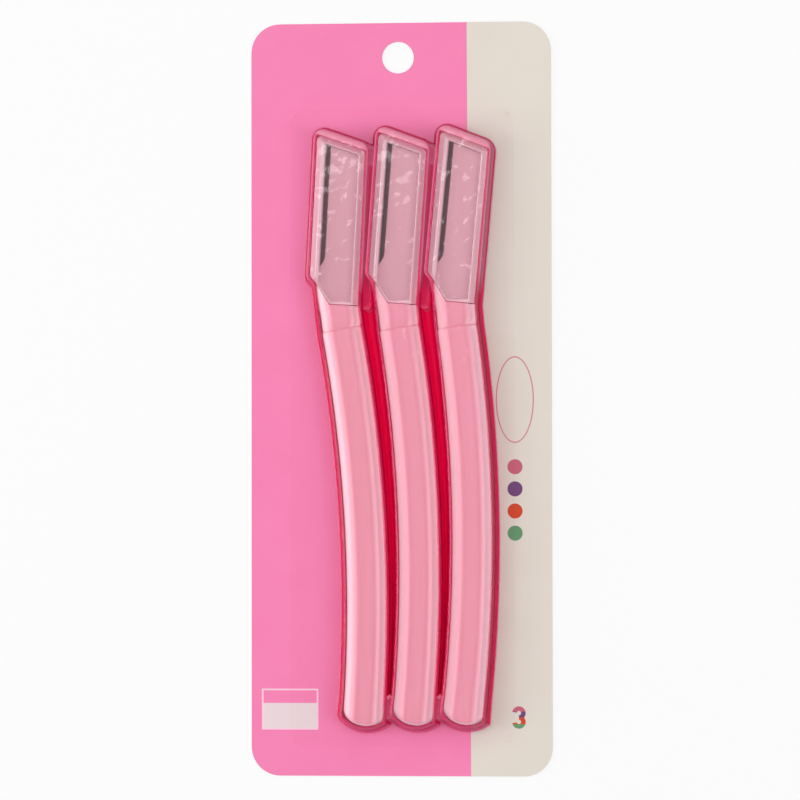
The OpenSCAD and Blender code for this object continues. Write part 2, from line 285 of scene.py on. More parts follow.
def prism(name, outline, low, high, place, bevel=0):
    """An outline drawn up from one height to another, with rounded edges where a bevel is given."""
    obj = loft(name, [[(*place(p), z) for p in outline] for z in (low, high)])
    if bevel:
        bm = bmesh.new()
        bm.from_mesh(obj.data)
        bmesh.ops.bevel(bm, geom=bm.edges[:], offset=bevel * MM, segments=3, affect="EDGES",
                        profile=0.5, clamp_overlap=True)
        bm.to_mesh(obj.data)
        bm.free()
    return obj


def combine(base, others, operation):
    """Joins solids to the base, cuts them from it or keeps what they share, and deletes them."""
    for other in others:
        modifier = base.modifiers.new("combine", "BOOLEAN")
        modifier.operation = operation
        modifier.solver = "MANIFOLD"
        modifier.object = other
        bpy.context.view_layer.update()
        evaluated = base.evaluated_get(bpy.context.evaluated_depsgraph_get())
        shape = bpy.data.meshes.new_from_object(evaluated)
        base.modifiers.clear()
        old = base.data
        base.data = shape
        bpy.data.meshes.remove(old)
        bpy.data.objects.remove(other)
    return base


def smooth(obj, limit):
    """Smooth shading, with edges sharper than the limit kept crisp."""
    bm = bmesh.new()
    bm.from_mesh(obj.data)
    bmesh.ops.remove_doubles(bm, verts=bm.verts, dist=WELD)
    bmesh.ops.dissolve_degenerate(bm, edges=bm.edges, dist=SLIVER)
    bmesh.ops.recalc_face_normals(bm, faces=bm.faces)
    for face in bm.faces:
        face.smooth = True
    for edge in bm.edges:
        edge.smooth = len(edge.link_faces) == 2 and edge.calc_face_angle(0) < math.radians(limit)
    bm.to_mesh(obj.data)
    bm.free()
    weigh = obj.modifiers.new("weigh", "WEIGHTED_NORMAL")
    weigh.keep_sharp = True
    weigh.weight = 90


def settle(obj, name, material, body, replaced=()):
    """Names and paints a piece, hangs it on the body it rides on, and hides the solids it stands for."""
    obj.name = name
    obj.data.name = name
    obj.data.materials.clear()
    obj.data.materials.append(material)
    for polygon in obj.data.polygons:
        polygon.material_index = 0
    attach(obj, body)
    if replaced:
        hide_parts(*replaced)


# Materials
class Nodes:
    """Short calls for building the node tree of a material or a world."""

    def __init__(self, name, made_in=bpy.data.materials):
        self.owner = made_in.new(name)
        self.owner.use_nodes = True
        self.tree = self.owner.node_tree
        self.tree.nodes.clear()

    def add(self, kind, settings=None, **inputs):
        node = self.tree.nodes.new(kind)
        for key, value in (settings or {}).items():
            setattr(node, key, value)
        for key, value in inputs.items():
            self.plug(node.inputs[key.replace("_", " ")], value)
        return node

    def plug(self, socket, value):
        if isinstance(value, bpy.types.NodeSocket):
            self.tree.links.new(value, socket)
        else:
            socket.default_value = value

    def math(self, operation, *values, clamp=False):
        node = self.add("ShaderNodeMath", {"operation": operation, "use_clamp": clamp})
        for socket, value in zip(node.inputs, values):
            self.plug(socket, value)
        return node.outputs[0]

    def folded(self, operation, values):
        total = values[0]
        for value in values[1:]:
            total = self.math(operation, total, value)
        return total

    def times(self, *values):
        return self.folded("MULTIPLY", values)

    def most(self, *values):
        return self.folded("MAXIMUM", values)

    def scaled(self, value, factor, offset):
        return self.math("MULTIPLY_ADD", value, factor, offset)

    def span(self, value, start, end, low=0.0, high=1.0):
        """Goes from low to high as the value goes from start to end, and stays there."""
        node = self.add("ShaderNodeMapRange", From_Min=start, From_Max=end, To_Min=low, To_Max=high)
        self.plug(node.inputs["Value"], value)
        return node.outputs[0]

    def mix(self, factor, a, b):
        node = self.add("ShaderNodeMix", {"data_type": "RGBA"})
        self.plug(node.inputs["Factor"], factor)
        self.plug(node.inputs["A"], a)
        self.plug(node.inputs["B"], b)
        return node.outputs["Result"]

    def ramp(self, value, stops):
        node = self.add("ShaderNodeValToRGB", Fac=value)
        elements = node.color_ramp.elements
        while len(elements) > 1:
            elements.remove(elements[-1])
        for i, (position, colour) in enumerate(stops):
            element = elements[0] if i == 0 else elements.new(position)
            element.position = position
            element.color = colour
        return node.outputs["Color"]

    def parts(self, vector):
        node = self.add("ShaderNodeSeparateXYZ")
        self.plug(node.inputs[0], vector)
        return node.outputs

    def place(self):
        """Object coordinates, in millimetres."""
        scale = self.add("ShaderNodeVectorMath", {"operation": "SCALE"}, Scale=1 / MM)
        self.plug(scale.inputs[0], self.add("ShaderNodeTexCoord").outputs["Object"])
        return scale.outputs[0]

    def slope(self):
        """0 on a level face and 1 on an upright one, and how far the face looks along +Y."""
        normal = self.parts(self.add("ShaderNodeTexCoord").outputs["Normal"])
        return self.math("SUBTRACT", 1.0, self.math("ABSOLUTE", normal[2]), clamp=True), normal[1]

    def past(self, where, start, axis):
        """How far a place lies beyond the start along an axis in the plane."""
        node = self.add("ShaderNodeVectorMath", {"operation": "DOT_PRODUCT"})
        self.plug(node.inputs[0], where)
        node.inputs[1].default_value = (*axis, 0)
        return self.math("SUBTRACT", node.outputs["Value"], axis[0] * start[0] + axis[1] * start[1])

    def noise(self, where, scale, detail, rough, stretch=None):
        """Noise, drawn out along Y where a stretch below 1 is given."""
        if stretch:
            where = self.add("ShaderNodeMapping", Vector=where, Scale=(1.0, stretch, 1.0)).outputs[0]
        node = self.add("ShaderNodeTexNoise", Vector=where, Scale=scale, Detail=detail, Roughness=rough)
        return node.outputs["Fac"]

    def bump(self, height, distance, strength):
        node = self.add("ShaderNodeBump", Strength=strength, Distance=distance * MM, Height=height)
        return node.outputs[0]

    def sheen(self, base, edge, skin):
        """Share of light thrown back by a clear skin, and a quarter of it where a face's back is seen."""
        facing = self.add("ShaderNodeLayerWeight", Blend=0.5, Normal=skin).outputs["Facing"]
        rise = self.math("POWER", facing, 4.0)
        outside = self.math("SUBTRACT", 1.0, self.add("ShaderNodeNewGeometry").outputs["Backfacing"])
        return self.times(self.scaled(rise, edge, base), self.scaled(outside, 0.75, 0.25))

    def gloss(self, rough, skin):
        return self.add("ShaderNodeBsdfGlossy", Color=grey(1.0), Roughness=rough, Normal=skin).outputs[0]

    def blend(self, factor, first, second):
        node = self.add("ShaderNodeMixShader", Fac=factor)
        self.plug(node.inputs[1], first)
        self.plug(node.inputs[2], second)
        return node.outputs[0]

    def out(self, shader, kind="ShaderNodeOutputMaterial"):
        self.add(kind, Surface=shader)
        return self.owner


def rgb(r, g, b):
    """A colour written as it looks on screen, from 0 to 255."""
    def linear(v):
        v /= 255
        return v / 12.92 if v <= 0.04045 else ((v + 0.055) / 1.055) ** 2.4

    return (linear(r), linear(g), linear(b), 1.0)


def grey(v):
    return (v, v, v, 1.0)


# Places where the materials change: a pair goes from where a mask is lowest to where it is 1
HANDLE_END_Y = (-60, -65)
BLADE_SIDE_X, CAP_LOW_Z = (-6.1, -6.7), MID_Z - 1
HANDLES_APART, VALLEY_FOOT_Y, VALLEY_HEAD_Y = (6.5, 5.2), (-79, -75), (40, 30)
PAST_TIP, TIP_SIDE, TIP_Z = (-0.3, 0.1), 0.4, (5.2, 5.6)
HEADS_Y, WAVES_Y, WAVES_Z = (26, 31), (5, 12), (4, 5)
# How far in from the flange's edge the film's painted light and shade, and its sheen, fade in
RIM_FADE_START, RIM_FADE_FULL = 0.8, 1.4
# Heights where the film's painted light and shade, and its painted shade tint, start and stop
CREASE_Z, ABOVE_CREASE_Z = (2.0, 1.5), (1.6, 2.2)
SHADE_TINT_Z, WALL_Z, CROWN_Z = (3.6, 2.6), (4.6, 4.0), (5.9, 6.2)
WEB_LOW_Z, WEB_HIGH_Z = (1.5, 2.0), (5.2, 5.0)


def pearl_material():
    """Pearl pink moulded plastic: fine flakes and faint flow lines, with a painted sheen that makes its
    sloping sides paler.
    """
    m = Nodes("pearl_pink_plastic")
    where = m.place()
    steep, along_y = m.slope()
    flow = m.noise(where, 0.9, 3, 0.55, stretch=0.06)
    flakes = m.noise(where, 9, 2, 0.6)
    swell = m.noise(where, 1.3, 2, 0.5, stretch=0.2)
    # Where the painted highlight goes: faces that look sideways, and all of the rounded end
    sheen_sides = m.span(m.math("ABSOLUTE", along_y), 0.35, 0.2)
    sheen_sides = m.most(sheen_sides, m.span(m.parts(where)[1], *HANDLE_END_Y))
    tone = m.mix(m.times(flow, 0.7), rgb(240, 137, 160), rgb(245, 153, 176))
    tone = m.mix(m.times(flakes, 0.12), tone, rgb(255, 214, 226))
    # Painted highlight: the sloping sides are painted a paler, whiter pink
    tone = m.mix(m.times(m.span(steep, 0.03, 0.27), sheen_sides), tone, rgb(255, 212, 226))
    shader = m.add("ShaderNodeBsdfPrincipled", Base_Color=tone, Metallic=0.12, Coat_Weight=0.4,
                   Coat_Roughness=0.3, Roughness=m.scaled(flakes, 0.12, 0.36),
                   Normal=m.bump(swell, 0.05, 0.35))
    return m.out(shader.outputs[0])


def plate_material():
    """The cover's paler, greyer plastic, with a fine matt grain."""
    m = Nodes("pale_plate_plastic")
    where = m.place()
    grain = m.noise(where, 7, 3, 0.6)
    cloud = m.noise(where, 0.25, 2, 0.5, stretch=0.3)
    tone = m.mix(cloud, rgb(238, 170, 187), rgb(250, 190, 205))
    tone = m.mix(m.times(grain, 0.15), tone, rgb(248, 214, 222))
    shader = m.add("ShaderNodeBsdfPrincipled", Base_Color=tone, Metallic=0.1, Coat_Weight=0.3,
                   Roughness=m.scaled(grain, 0.12, 0.34), Normal=m.bump(grain, 0.015, 0.4))
    return m.out(shader.outputs[0])


def steel_material():
    """Dark strip steel, brushed along its length."""
    m = Nodes("brushed_strip_steel")
    lines = m.noise(m.place(), 6, 3, 0.6, stretch=0.03)
    tone = m.ramp(lines, [(0.3, rgb(50, 34, 38)), (0.7, rgb(86, 64, 68))])
    shader = m.add("ShaderNodeBsdfPrincipled", Base_Color=tone, Metallic=0.9,
                   Roughness=m.scaled(lines, 0.2, 0.28), Normal=m.bump(lines, 0.01, 0.5))
    return m.out(shader.outputs[0])


def cap_material(k):
    """Clear cap plastic with a faint haze, and a painted glow: pale milky pink on slopes and at the mouth,
    beside the blade and in its lower half.
    """
    m = Nodes(f"clear_cap_plastic_{k}")
    where = m.place()
    steep, along_y = m.slope()
    skin = m.bump(m.noise(where, 0.35, 2, 0.5), 0.25, 0.4)
    sloping = m.math("MINIMUM", m.times(steep, 8.0), 1.0)
    fold = m.times(m.span(steep, 0.005, 0.03), m.span(steep, 0.36, 0.3))
    mouth = m.span(along_y, -0.1, -0.3)
    low_half = m.math("LESS_THAN", m.parts(where)[2], CAP_LOW_Z)
    beside_blade = m.span(m.past(where, in_row(k, JOINT), turned((1, 0), head_angle(k))), *BLADE_SIDE_X)
    # Painted light: the milky pink on slopes, at the mouth, beside the blade and in the lower half stands in
    # for light refracted by the clear plastic and for the lit card seen through it; only the small share
    # everywhere is real haze
    haze_and_painted_glow = m.most(m.scaled(sloping, 0.78, 0.05), m.times(m.most(low_half, mouth), 0.88),
                  m.times(beside_blade, 0.72))
    clear = m.add("ShaderNodeBsdfTransparent", Color=(0.985, 0.965, 0.97, 1)).outputs[0]
    # Painted glow colour: paler pink above, pinker in the lower half where it stands in for the lit card
    painted_glow = m.add("ShaderNodeBsdfPrincipled", Roughness=0.2, Coat_Weight=0.3, Normal=skin,
                 Base_Color=m.mix(low_half, rgb(255, 208, 221), rgb(252, 180, 200))).outputs[0]
    shine = m.sheen(m.scaled(fold, 0.045, 0.025), 0.1, skin)
    return m.out(m.blend(shine, m.blend(haze_and_painted_glow, clear, painted_glow), m.gloss(0.07, skin)))


def between_handles(m, x, y):
    """1 on the film's floor between two handles, 0 elsewhere."""
    flat = m.add("ShaderNodeCombineXYZ", X=x, Y=y).outputs[0]
    beside = []
    for k in RAZORS:
        reach = m.add("ShaderNodeVectorMath", {"operation": "DISTANCE"})
        m.plug(reach.inputs[0], flat)
        reach.inputs[1].default_value = (*in_row(k, turned((-BEND_R, 0), FOOT_ANGLE)), 0)
        off = m.math("ABSOLUTE", m.math("SUBTRACT", reach.outputs["Value"], BEND_R))
        beside.append(m.math("SUBTRACT", off, HANDLE_W / 2))
    gaps = [m.span(m.math("ADD", a, b), *HANDLES_APART) for a, b in zip(beside, beside[1:])]
    return m.times(m.most(*gaps), m.span(y, *VALLEY_FOOT_Y), m.span(y, *VALLEY_HEAD_Y))


def above_caps(m, where, z):
    """1 on the film's crown past the caps' tips, 0 elsewhere."""
    width = CAP_LEFT + CAP_RIGHT
    bands = []
    for k in RAZORS:
        tip = head_frame(k)((-CAP_LEFT, cap_top(-CAP_LEFT)))
        beyond = m.span(m.past(where, tip, turned((0, 1), head_angle(k) - HEAD_SLANT)), *PAST_TIP)
        across = m.past(where, tip, turned((1, 0), head_angle(k)))
        within = m.times(m.span(across, -TIP_SIDE, 0.0), m.span(across, width + TIP_SIDE, width))
        bands.append(m.times(beyond, within))
    return m.times(m.most(*bands), m.span(z, *TIP_Z))


def off_rim(m, x, y):
    """0 along the flange's outer edge, 1 elsewhere."""
    sides = []
    for axis, low, high in zip((x, y), FLANGE_LOW, FLANGE_HIGH):
        half = (high - low) / 2
        off = m.math("ABSOLUTE", m.math("SUBTRACT", axis, (low + high) / 2))
        sides.append(m.span(off, half - RIM_FADE_START, half - RIM_FADE_FULL))
    return m.times(*sides)


def film_material():
    """Clear blister film with painted light and shade where its walls are steep: crimson shade at the sides,
    paler pink light at the ends.
    """
    m = Nodes("clear_blister_film")
    where = m.place()
    x, y, z = m.parts(where)
    steep, along_y = m.slope()
    waves = m.times(m.noise(where, 0.24, 2, 0.4, stretch=0.8), m.span(steep, 0.2, 0.03),
                    m.span(z, *WAVES_Z), m.span(y, *WAVES_Y, 0.15, 1.0))
    skin = m.bump(waves, 0.6, 0.7)

    inside, head, above_crease = off_rim(m, x, y), m.span(y, *HEADS_Y), m.span(z, *ABOVE_CREASE_Z)
    valley, tip_band = between_handles(m, x, y), above_caps(m, where, z)
    web = m.times(m.span(z, *WEB_LOW_Z), m.span(z, *WEB_HIGH_Z))
    sloping = m.most(m.times(m.span(steep, 0.03, 0.3), inside), valley, web)
    crease = m.times(m.span(z, *CREASE_Z), sloping)
    wall = m.times(m.span(z, *WALL_Z), m.scaled(head, -0.35, 1.0))
    deep = m.most(m.times(wall, sloping), crease)
    # The crowns carry the painted layer as well, more of it at the heads
    crown = m.times(m.span(steep, 0.02, 0.1), m.scaled(head, 0.12, 0.46), m.span(z, *CROWN_Z, 0.12, 1.0))

    # Painted light and shade, standing in for the pink card refracted and reflected by the film and for the
    # shade between the razors: crimson in the valleys, a darker line at the foot by the heads, crimson on
    # the bridges, pale pink on the head walls, mid pink on faces looking down the card, pale pink past the
    # caps' tips and at the far ends
    tone = m.mix(valley, rgb(230, 30, 94), rgb(255, 18, 104))
    tone = m.mix(m.times(head, crease), tone, rgb(190, 40, 92))
    tone = m.mix(m.times(web, m.span(steep, 0.3, 0.1)), tone, rgb(214, 30, 86))
    tone = m.mix(m.times(head, above_crease, m.span(steep, 0.1, 0.4)), tone, rgb(252, 150, 186))
    tone = m.mix(m.span(along_y, -0.3, -0.8), tone, rgb(240, 104, 154))
    far_end = m.times(m.span(along_y, 0.3, 0.8), above_crease)
    tone = m.mix(m.most(tip_band, far_end), tone, rgb(255, 166, 192))
    # An opaque matt layer carries the painted light and shade
    painted_light_and_shade = m.add("ShaderNodeBsdfPrincipled", Roughness=0.6, Specular_IOR_Level=0.0, Base_Color=tone)

    # Painted shade in the clear film: its steep low walls pass only crimson, which darkens and reddens what
    # is seen and lit through them
    painted_shade_tint = m.mix(m.times(deep, m.span(z, *SHADE_TINT_Z)), (1.0, 0.995, 0.997, 1), (0.9, 0.2, 0.42, 1))
    clear = m.add("ShaderNodeBsdfTransparent", Color=painted_shade_tint)
    # How much of the painted layer shows: most in the valleys and creases, then on the crowns and past the
    # caps' tips
    cover = m.times(deep, m.scaled(m.most(valley, crease), 0.35, 0.6))
    body = m.blend(m.most(cover, crown, m.times(tip_band, 0.6)), clear.outputs[0], painted_light_and_shade.outputs[0])
    shine = m.times(m.sheen(0.02, 0.025, skin), m.scaled(inside, 0.85, 0.15))
    return m.out(m.blend(shine, body, m.gloss(0.05, skin)))


def card_material():
    """Coated board, printed pink with a beige strip, and bare pulp on its back and edges."""
    m = Nodes("printed_board")
    where = m.place()
    x, y, z = m.parts(where)
    mottle = m.noise(where, 0.08, 2, 0.5)
    grain = m.noise(where, 5, 3, 0.6)
    pink = m.mix(mottle, rgb(246, 126, 177), rgb(251, 136, 186))
    beige = m.mix(mottle, rgb(226, 216, 205), rgb(231, 222, 212))
    pulp = m.mix(grain, rgb(214, 208, 200), rgb(240, 236, 230))
    strip = m.math("GREATER_THAN", m.scaled(y, STRIP_LEAN, x), STRIP_X)
    upper = m.math("GREATER_THAN", z, CARD_T - INK_T)
    shader = m.add("ShaderNodeBsdfPrincipled", Base_Color=m.mix(upper, pulp, m.mix(strip, pink, beige)),
                   Roughness=m.scaled(grain, 0.1, 0.42), Specular_IOR_Level=0.35,
                   Normal=m.bump(grain, 0.02, 0.4))
    return m.out(shader.outputs[0])


def ink_material(name, colour, *below):
    """Printed ink in one colour, or with more bands of colour below it, each (highest y, colour)."""
    m = Nodes(name)
    where = m.place()
    tone = colour
    for highest, lower in below:
        tone = m.mix(m.math("GREATER_THAN", m.parts(where)[1], highest), lower, tone)
    speck = m.noise(where, 8, 2, 0.6)
    tone = m.mix(m.times(speck, 0.03), tone, grey(1.0))
    shader = m.add("ShaderNodeBsdfPrincipled", Base_Color=tone, Roughness=m.scaled(speck, 0.12, 0.4),
                   Specular_IOR_Level=0.2, Normal=m.bump(speck, 0.004, 0.5))
    return m.out(shader.outputs[0])


pearl, plate_plastic, steel = pearl_material(), plate_material(), steel_material()
film_plastic, board = film_material(), card_material()

# Razors
SECTION_PATH = [(-HANDLE_W / 2, -EDGE_T / 2), (-FLAT_W / 2, -HANDLE_T / 2), (FLAT_W / 2, -HANDLE_T / 2),
                (HANDLE_W / 2, -EDGE_T / 2), (HANDLE_W / 2, EDGE_T / 2), (FLAT_W / 2, HANDLE_T / 2),
                (-FLAT_W / 2, HANDLE_T / 2), (-HANDLE_W / 2, EDGE_T / 2)]
SECTION = fillets(SECTION_PATH, [RIM_R, FOLD_R, FOLD_R, RIM_R] * 2, SECTION_STEPS, closed=True)
PEG_SPAN = plate_top(PEG_X) - BLADE_LOW
PEGS = [(PEG_X, BLADE_LOW + PEG_SPAN * share) for share in PEG_SHARES]


def shrunk(by):
    """The handle's section, drawn in by a length on every side."""
    return [(x * (1 - 2 * by / HANDLE_W), z * (1 - 2 * by / HANDLE_T)) for x, z in SECTION]


def end_point(x, r):
    """Angle along the bend at which a line at x meets a circle round the handle's end."""
    low, high = FOOT_ANGLE - SEARCH_BACK, END_ANGLE
    for _ in range(SEARCH_STEPS):
        middle = (low + high) / 2
        if math.dist(along(middle, x), END_CENTRE) > r:
            low = middle
        else:
            high = middle
    return high


def tang_shape(k, name, length, root, fit):
    """The tang, or with a fit all round it, its socket."""
    w, t = TANG_W / 2 + fit, TANG_T / 2 + fit
    return prism(name, rectangle((-w, -length - fit), (w, root)), MID_Z - t, MID_Z + t, joint_frame(k))


def handle(k):
    """A bar swept along its bend from its round end to the joint line, with a socket for the tang."""
    def row(section, angles):
        return [(*in_row(k, along(a, x)), MID_Z + z) for (x, z), a in zip(section, angles)]

    rows = []
    for a in END_TURNS:
        section = shrunk(END_SOFT * (1 - sin(a)))
        reach = END_R - END_SOFT + END_SOFT * cos(a)
        rows.append(row(section, [end_point(x, reach) for x, _ in section]))
    starts = [end_point(x, END_R - END_SOFT) for x, _ in SECTION]
    stop = HANDLE_LEAN - math.degrees(JOINT_SOFT / BEND_R)
    for i in range(1, SWEEP_STEPS + 1):
        rows.append(row(SECTION, [start + (stop - start) * i / SWEEP_STEPS for start in starts]))
    for a in JOINT_TURNS:
        stop = HANDLE_LEAN - math.degrees(JOINT_SOFT * (1 - sin(a)) / BEND_R)
        rows.append(row(shrunk(JOINT_SOFT * (1 - cos(a))), [stop] * len(SECTION)))
    body = loft("handle", [points[::-1] for points in rows])
    combine(body, [tang_shape(k, "socket", TANG_LEN, OVERRUN, TANG_FIT)], "DIFFERENCE")
    smooth(body, limit=40)
    settle(body, f"handle_{k}", pearl, "pack", [f"razor_{k}_handle"])


def below_mouth(gap):
    """Outline of all that lies below the cap's mouth, raised by a gap."""
    left = MOUTH_CORNER[0] - FAR
    outline = [(left, -FAR), (FAR, -FAR), (FAR, NECK_LEN), (-MOUTH_LEFT, NECK_LEN), SHOULDER, MOUTH_CORNER,
               (left, MOUTH_CORNER[1])]
    return [(x, y + gap) for x, y in outline]


def mouth_cut(k, gap):
    return prism("mouth_cut", below_mouth(gap), CARD_T - OVERRUN, CARD_T + CAP_T + OVERRUN, head_frame(k))


def mouth_slope(k):
    """Cuts the cap's top wall back along its mouth, so that its rim slopes."""
    top = CARD_T + CAP_T
    corners = [(p, 0) for p in below_mouth(MOUTH_GAP)]
    levels = [(top - MOUTH_DROP, 0), (top + MOUTH_RISE, MOUTH_BACK)]
    return stacked("mouth_slope", corners, levels, head_frame(k))


def carrier(k):
    """The neck, with its tang, the plate under the blade, the stop behind it and the pegs through it."""
    rows = []
    for i in range(NECK_STEPS + 1):
        s = i / NECK_STEPS
        ease = s * s * (3 - 2 * s)
        lean = HANDLE_LEAN - (HEAD_LEAN + HANDLE_LEAN) * ease
        centre = from_head((-NECK_SHIFT * NECK_SWING * ease, SHOULDER[1] * s))
        section = SECTION if i else shrunk(JOINT_SOFT)
        rows.append([(*in_row(k, plus(centre, turned((x, 0), lean))), MID_Z + z) for x, z in section])
    body = loft("carrier", [row[::-1] for row in rows])
    combine(body, [mouth_cut(k, 0)], "INTERSECT")

    head = head_frame(k)
    low = NECK_LEN - PLATE_DEPTH
    outline = [(PLATE_RIGHT, low), (PLATE_RIGHT, plate_top(PLATE_RIGHT)), (-PLATE_LEFT, HEAD_TIP),
               *PLATE_NOSE, SHOULDER, (-MOUTH_LEFT, low)]
    plate = prism("plate", outline, BLADE_Z - PLATE_T, BLADE_Z, head, PLATE_SOFT)
    left, right = BLADE_BACK + PEG_FIT, PLATE_RIGHT - STOP_IN
    outline = [(left, STOP_LOW), (right, STOP_LOW), (right, plate_top(PLATE_RIGHT) - STOP_SHORT),
               (left, plate_top(left) - STOP_SHORT)]
    stop = prism("stop", outline, BLADE_Z - STOP_ROOT, BLADE_TOP, head)
    pegs = [prism("peg", disc(p, PEG_R), BLADE_Z - PEG_ROOT, BLADE_TOP + PEG_OVER, head) for p in PEGS]
    combine(body, [tang_shape(k, "tang", TANG_LEN, TANG_ROOT, 0), plate, stop, *pegs], "UNION")
    smooth(body, limit=32)
    settle(body, f"blade_carrier_{k}", pearl, "pack", [f"razor_{k}_blade_carrier"])


def cover(k):
    """The plate over the blade, with its guard nose and a blind hole for each peg."""
    head = head_frame(k)
    low = NECK_LEN + COVER_RISE
    outline = [(PLATE_RIGHT, low), (PLATE_RIGHT, plate_top(PLATE_RIGHT)), (-PLATE_LEFT, HEAD_TIP),
               *COVER_NOSE, (-COVER_LEFT, low)]
    body = prism("cover", outline, BLADE_TOP, BLADE_TOP + COVER_T, head, COVER_SOFT)
    hole_top = BLADE_TOP + PEG_OVER + PEG_FIT
    holes = [prism("hole", disc(p, PEG_R + PEG_FIT), BLADE_Z, hole_top, head) for p in PEGS]
    combine(body, holes, "DIFFERENCE")
    smooth(body, limit=32)
    settle(body, f"blade_cover_{k}", plate_plastic, "pack", [f"razor_{k}_blade_cover"])


def cap(k):
    """The clear sheath over the head, open at its mouth."""
    low = -CAP_LEFT - CAP_BEVEL
    sheath = [((CAP_RIGHT, low), 0), ((CAP_RIGHT, cap_top(CAP_RIGHT)), CAP_CORNER_R),
              ((-CAP_LEFT, cap_top(-CAP_LEFT)), CAP_TIP_R), ((-CAP_LEFT, low), 0)]
    half, edge = CAP_T / 2, CAP_EDGE_T / 2
    inner = half - CAP_WALL
    inset = CAP_WALL + CAP_BEVEL * (inner - edge) / (half - edge)

    def levels(top, side, inset_top, r):
        path = [(-inset_top - FOLD_LEAD, -top), (-inset_top, -top), (-side, -edge), (-side, edge),
                (-inset_top, top), (-inset_top - FOLD_LEAD, top)]
        edge_r = r * EDGE_FOLD_SHARE
        rounded = fillets(path, [0, r, edge_r, edge_r, r, 0], CAP_FOLD_STEPS)
        return [(MID_Z + z, grow) for grow, z in rounded[1:-1]]

    body = stacked("cap", sheath, levels(half, 0, CAP_BEVEL, CAP_FOLD_R), head_frame(k))
    hollow = stacked("hollow", sheath, levels(inner, CAP_WALL, inset, HOLLOW_FOLD_R), head_frame(k))
    combine(body, [hollow, mouth_cut(k, MOUTH_GAP), mouth_slope(k)], "DIFFERENCE")
    smooth(body, limit=35)
    settle(body, f"cap_{k}", cap_material(k), f"cap_{k}", [f"razor_{k}_cap"])


# Film
def trough_corners():
    """Outline that a trough stands off from, round the cap, the neck and the handle."""
    side = HANDLE_W / 2
    left = -90 - math.degrees(math.asin((side + END_SHIFT) / END_R))
    right = -90 + math.degrees(math.asin((side - END_SHIFT) / END_R))
    sides = [HANDLE_LEAN + (END_ANGLE - HANDLE_LEAN) * i / SIDE_STEPS for i in range(SIDE_STEPS + 1)]
    turns = [left + (right - left) * i / END_STEPS for i in range(END_STEPS + 1)]
    corners = [(from_head((CAP_RIGHT, cap_top(CAP_RIGHT) + TIP_ROOM)), CAP_CORNER_R),
               (from_head((-CAP_LEFT, cap_top(-CAP_LEFT) + TIP_ROOM)), CAP_TIP_R + FILM_CLEAR),
               (from_head(MOUTH_CORNER), MOUTH_R),
               (from_head(SHOULDER), SHOULDER_R)]
    corners += [(along(a, -side), 0) for a in sides]
    corners += [(plus(END_CENTRE, turned((END_R + END_ROOM, 0), END_ANGLE + a)), 0) for a in turns]
    corners += [(along(a, side), 0) for a in reversed(sides)]
    corners += [(from_head((side - NECK_SHIFT, NECK_LEN)), NECK_R)]
    return corners


def trough_levels(foot_z, top_z, grow, r, foot_r):
    """Heights and growths up a trough's wall and over its crown, with a fillet at its foot."""
    base, bend_z = CARD_T + FILM_T, top_z - r

    def wall(z):
        return grow + tan(DRAFT) * (bend_z - z)

    levels = [(foot_z, wall(base) + foot_r)]
    if foot_r:
        levels += [(base + foot_r * (1 - cos(a)) + FOOT_SKIM, wall(base) + foot_r * (1 - sin(a)))
                   for a in FOOT_TURNS]
    heights = [base + (bend_z - base) * share for share in WALL_SHARES]
    levels += [(z, wall(z)) for z in heights]
    levels += [(top_z - r * (1 - sin(a)), grow - r * (1 - cos(a))) for a in CROWN_TURNS]
    return levels


def web_shapes():
    """Bridges of film from a trough to the next, each (corners, height): at heads, necks and ends."""
    left, right = CAP_RIGHT - WEB_REACH, CAP_RIGHT + WEB_REACH
    low = cap_top(CAP_RIGHT) - WEB_LEN
    head_web = [(left, low), (right, low)] + [(x, cap_top(x) + TIP_ROOM) for x in (right, left)]
    valley_web = rectangle((left, NECK_LEN), (right, low + WEB_R))
    end_low = END_CENTRE[1] - END_R + END_WEB_SHORT
    end_web = rectangle((END_WEB_SIDE, end_low), (FOOT_PITCH - END_WEB_SIDE, end_low + END_WEB_LEN))
    webs = [([from_head(p) for p in head_web], WEB_TOP), ([from_head(p) for p in valley_web], VALLEY_TOP),
            (end_web, WEB_TOP)]
    return [([(p, WEB_R) for p in outline], top) for outline, top in webs]


def film():
    """The flange, with the troughs and the bridges between them raised from it and hollowed out."""
    face = CARD_T + FILM_T
    # Where the outline starts settles how the flange's flat faces are cut into triangles
    low_left, *others = rectangle(FLANGE_LOW, FLANGE_HIGH)
    flange = [(p, FLANGE_R) for p in (*others, low_left)]
    levels = [(CARD_T + FLANGE_LIFT, 0), (face - FLANGE_SOFT, 0), (face - FLANGE_MID, -FLANGE_MID),
              (face, -FLANGE_SOFT)]
    body = stacked("film", flange, levels, card_frame, FLANGE_STEPS)
    shapes = [(trough_corners(), CEILING, k) for k in RAZORS]
    shapes += [(corners, top - FILM_T, k) for k in RAZORS[:-1] for corners, top in web_shapes()]
    for corners, top, k in shapes:
        levels = trough_levels(CARD_T + TROUGH_ROOT, top + FILM_T, FILM_CLEAR + FILM_T, CROWN_R, FILM_FOOT_R)
        combine(body, [stacked("trough", corners, levels, razor_frame(k))], "UNION")
    for corners, top, k in shapes:
        levels = trough_levels(CARD_T - HOLLOW_DEPTH, top, FILM_CLEAR, CROWN_R - FILM_T, 0)
        combine(body, [stacked("hollow", corners, levels, razor_frame(k))], "DIFFERENCE")
    smooth(body, limit=28)
    settle(body, "blister_film", film_plastic, "blister", ["blister"])


def paint(node, material):
    """Gives a solid that is shown as it is its material."""
    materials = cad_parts[node].data.materials
    materials.clear()
    materials.append(material)


for k in RAZORS:
    handle(k)
    carrier(k)
    cover(k)
    cap(k)
    paint(f"razor_{k}_blade", steel)
film()
paint("card", board)

